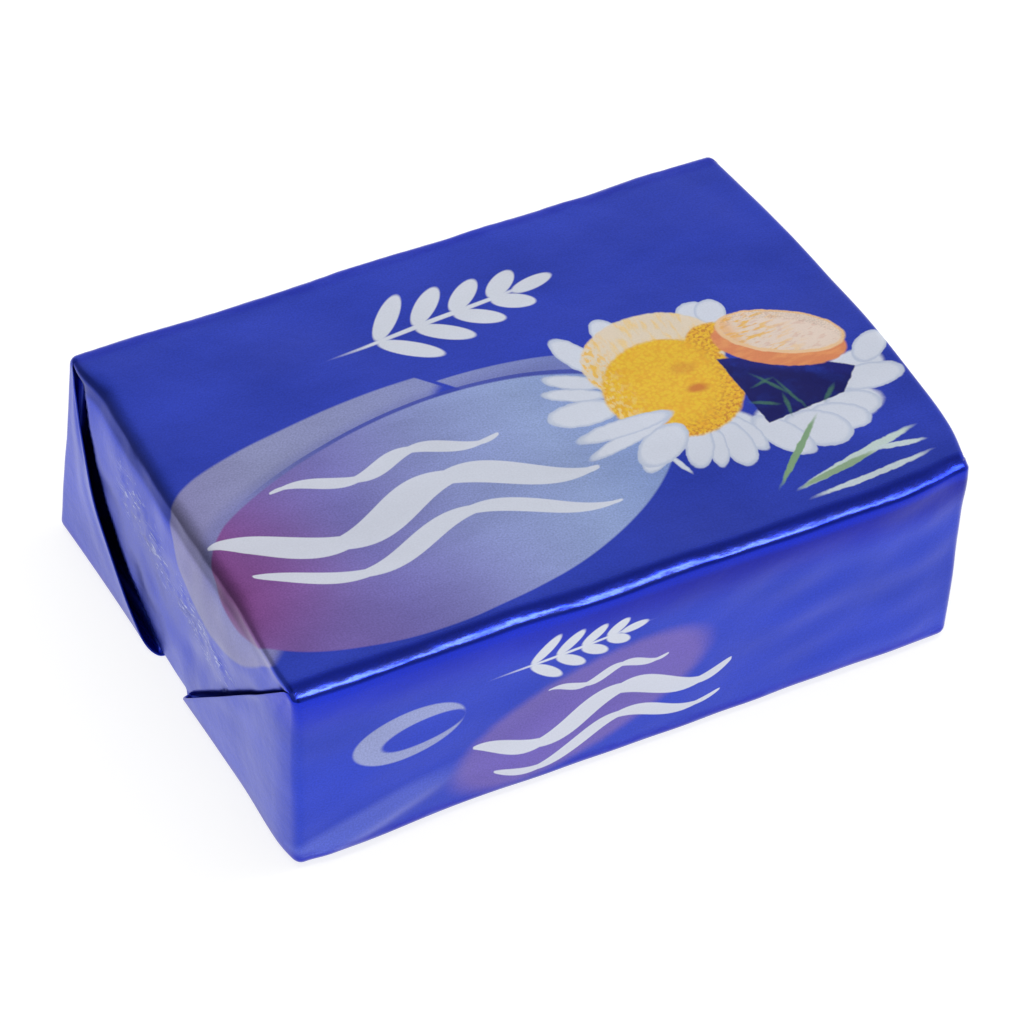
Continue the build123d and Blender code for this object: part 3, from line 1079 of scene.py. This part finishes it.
def crease_lines(sheet):
    """Masks for the long folds, where shade and highlight are painted: the front roll, the painted highlight
    along its crest, and the painted shade along the base and back creases.
    """
    from_middle = sheet.math("ABSOLUTE", sheet.math("ADD", sheet.y, TOP_Y + ROLL_MIDDLE))
    front = sheet.ramp(from_middle, 3.0, 1.6)
    base = sheet.math("SUBTRACT", BASE_Y - BASE_CREASE, sheet.math("ABSOLUTE", sheet.y))
    low = sheet.ramp(sheet.math("ABSOLUTE", base), 3.0, 1.2)
    back = sheet.ramp(sheet.apart(sheet.y, TOP_Y), 2.0, 0.4)
    rest = sheet.math("MAXIMUM", low, sheet.times(back, 0.5))
    # noise that breaks the painted shade and highlight into patches
    mottled_shade = sheet.ramp(sheet.noise(1.4, 3.0, (3.0, 0.8), 91.0), 0.25, 0.55)
    crest = sheet.ramp(sheet.math("ABSOLUTE", sheet.math("ADD", sheet.y, CREST_Y)), 0.8, 0.3)
    crest = sheet.times(crest, sheet.ramp(sheet.x, 62.0, 18.0))
    return front, sheet.times(crest, mottled_shade), sheet.times(rest, mottled_shade)


def left_crease_painted_shade(sheet):
    """A mask for the painted shade: a darker strip over the left end's top crease."""
    over = sheet.math("MULTIPLY_ADD", sheet.fold_x, -1.0, -TOP_X)
    strip = sheet.times(sheet.ramp(over, -0.8, 1.0), sheet.ramp(over, 4.3, 3.2))
    strip = sheet.times(strip, sheet.ramp(sheet.y, -30.0, -16.0))
    return sheet.times(strip, sheet.ramp(sheet.y, 37.5, 33.0))


# The sharp little ridges across the folded ends
RIDGE_DROP = 14.0          # how far their middle lies from the top panel, along the sheet
RIDGE_SLANT = -0.26        # how that changes across the pack
RIDGE_FADE = (5.6, 1.8)    # how far from that middle they are gone, and whole
RIDGE_SIDES = (21.0, 14.0)       # the same from the middle of the pack
RIDGE_FAINT = (95.0, -10.0)      # where along the pack they would be gone, and are whole
RIDGE_LINE = (0.020, 0.004)      # the ridges' thinness, in parts of the noise


def crinkles(sheet):
    """A mask for the sharp little ridges that cross the folded end, below its top crease."""
    down = sheet.math("SUBTRACT", sheet.math("ABSOLUTE", sheet.fold_x), TOP_X)
    centre = sheet.math("ADD", sheet.times(sheet.y, RIDGE_SLANT), RIDGE_DROP)
    zone = sheet.ramp(sheet.apart(down, centre), *RIDGE_FADE)
    zone = sheet.times(zone, sheet.ramp(sheet.math("ABSOLUTE", sheet.y), *RIDGE_SIDES))
    zone = sheet.times(zone, sheet.ramp(sheet.fold_x, *RIDGE_FAINT))
    wave = sheet.noise(2.3, 2.0, (0.55, 3.0), 63.0)
    line = sheet.ramp(sheet.apart(wave, 0.5), *RIDGE_LINE)
    broken = sheet.ramp(sheet.noise(1.6, 2.0, offset=19.0), 0.40, 0.54)
    return sheet.times(line, broken, zone)


GRAIN_SHARE = 0.11         # the paper grain's height beside the crumples'
RIDGE_HEIGHT = 1.2         # the ridges' height beside them
RELIEF = 0.12              # the crumples' own height


def foil_grain(sheet, ridges):
    """The fine paper grain pressed through the foil, its faint crumples, and the end's sharp ridges."""
    fine = sheet.noise(0.30, 2.0)
    soft = sheet.noise(2.8, 2.5, offset=31.0)
    height = sheet.math("ADD", sheet.times(fine, GRAIN_SHARE), soft)
    height = sheet.math("ADD", height, sheet.times(ridges, RIDGE_HEIGHT))
    return sheet.add("ShaderNodeBump", {
        "Height": height,
        "Strength": 0.6,
        "Distance": RELIEF * MM,
    }).outputs["Normal"]


FLOOR_FILL_GLOW = (0.82, 0.48)        # the floor's painted glow under the pack, which lifts the shade there, and far from it
FLOOR_FADE = (0.14, 0.5)         # where it begins to fall and stops, in metres from the middle


def floor_material():
    """A pale floor whose glow is painted light: it glows more under the pack, lifting the shade round it, and
    less further off.
    """
    material = bpy.data.materials.new("studio_floor")
    material.use_nodes = True
    nodes = Nodes(material.node_tree)
    place = nodes.add("ShaderNodeTexCoord").outputs["Object"]
    away = nodes.add("ShaderNodeVectorMath", {0: place}, operation="LENGTH")
    glow = nodes.span(away.outputs["Value"], *FLOOR_FADE, *FLOOR_FILL_GLOW)
    shader = nodes.add("ShaderNodeBsdfPrincipled", {
        "Base Color": (0.32, 0.32, 0.32, 1.0),
        "Roughness": 0.9,
        "Emission Color": (1.0, 1.0, 1.0, 1.0),
        "Emission Strength": glow,
    })
    nodes.add("ShaderNodeOutputMaterial", {"Surface": shader.outputs["BSDF"]})
    return material


# ---- Studio ----

FLOOR_HALF = 3.0           # half the floor's width, in metres


def floor():
    """The glowing pale floor that the pack lies on."""
    half = FLOOR_HALF
    mesh = bpy.data.meshes.new("studio_floor")
    corners = [(-half, -half, 0), (half, -half, 0), (half, half, 0), (-half, half, 0)]
    mesh.from_pydata(corners, [], [(0, 1, 2, 3)])
    mesh.materials.append(floor_material())
    piece = bpy.data.objects.new("studio_floor", mesh)
    bpy.context.scene.collection.objects.link(piece)


# The sky's brightness by angle from overhead, in degrees: minus is towards the front
SKY = ((-90.0, 0.80), (-70.0, 0.62), (-52.0, 0.40), (-26.0, 0.30), (-14.0, 0.50), (-7.0, 1.2), (-5.0, 8.5),
       (-1.0, 8.5), (1.0, 1.2), (7.0, 0.42), (15.0, 0.30), (27.0, 0.38), (36.0, 0.72), (48.0, 0.83),
       (70.0, 0.98), (90.0, 1.05))
LEFT_LIGHT = 0.42                # the sky's strength towards the left
SKY_LEFT = (-0.45, 0.0)          # the directions where it has that strength, and all of it
SKY_END = (0.5, 0.85)            # the directions where it turns plain, at both ends
PLAIN_SKY = 0.8


def grey(bright):
    return bright, bright, bright, 1.0


def studio_light():
    """Long soft lights beside the pack, by the angle round X; plain at its ends, dimmer at the left."""
    world = bpy.data.worlds.new("studio")
    bpy.context.scene.world = world
    world.use_nodes = True
    nodes = Nodes(world.node_tree)
    way = nodes.add("ShaderNodeTexCoord").outputs["Generated"]
    parts = nodes.add("ShaderNodeSeparateXYZ", {"Vector": way})
    turn = nodes.math("ARCTAN2", parts.outputs["Y"], parts.outputs["Z"])
    place = nodes.span(turn, -pi / 2, pi / 2, shape="LINEAR")
    sky = nodes.hues(place, [((angle + 90.0) / 180.0, grey(bright)) for angle, bright in SKY])
    dim = nodes.span(parts.outputs["X"], *SKY_LEFT, LEFT_LIGHT, 1.0)
    plain = nodes.span(nodes.math("ABSOLUTE", parts.outputs["X"]), *SKY_END)
    sky = nodes.mixed(plain, sky, grey(PLAIN_SKY))
    glow = nodes.add("ShaderNodeBackground", {"Color": sky, "Strength": dim})
    nodes.add("ShaderNodeOutputWorld", {"Surface": glow.outputs["Background"]})


CAMERA_TURN = -28.931            # degrees round the pack from the front, minus to the left
CAMERA_RISE = 44.426             # degrees above the floor
CAMERA_ROLL = 2.563              # degrees
CAMERA_OFFSET = (0.694, 10.026)  # how far right and up the view's middle lies, in mm
CAMERA_DISTANCE = 810.304
CAMERA_LENS = 195.93


def camera(shift):
    """The main view: from the front left and well above, through a long lens."""
    azimuth, elevation, roll = radians(CAMERA_TURN), radians(CAMERA_RISE), radians(CAMERA_ROLL)
    back = Vector((sin(azimuth) * cos(elevation), -cos(azimuth) * cos(elevation), sin(elevation)))
    level = Vector((cos(azimuth), sin(azimuth), 0.0))
    rise = back.cross(level)
    right = cos(roll) * level + sin(roll) * rise
    up = cos(roll) * rise - sin(roll) * level
    place = CAMERA_OFFSET[0] * right + CAMERA_OFFSET[1] * up + CAMERA_DISTANCE * back + Vector(shift)
    data = bpy.data.cameras.new("camera")
    data.lens = CAMERA_LENS
    data.sensor_width = 36.0
    data.clip_start = 0.05
    data.clip_end = 10.0
    view = bpy.data.objects.new("camera", data)
    view.matrix_world = Matrix.Translation(place * MM) @ Matrix((right, up, back)).transposed().to_4x4()
    bpy.context.scene.collection.objects.link(view)
    bpy.context.scene.camera = view


piece, shift = wrapper()
piece.data.materials.append(printed_foil())
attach(piece, "root")
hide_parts(NODE)
floor()
studio_light()
camera(shift)
bpy.context.scene.view_settings.view_transform = "Standard"
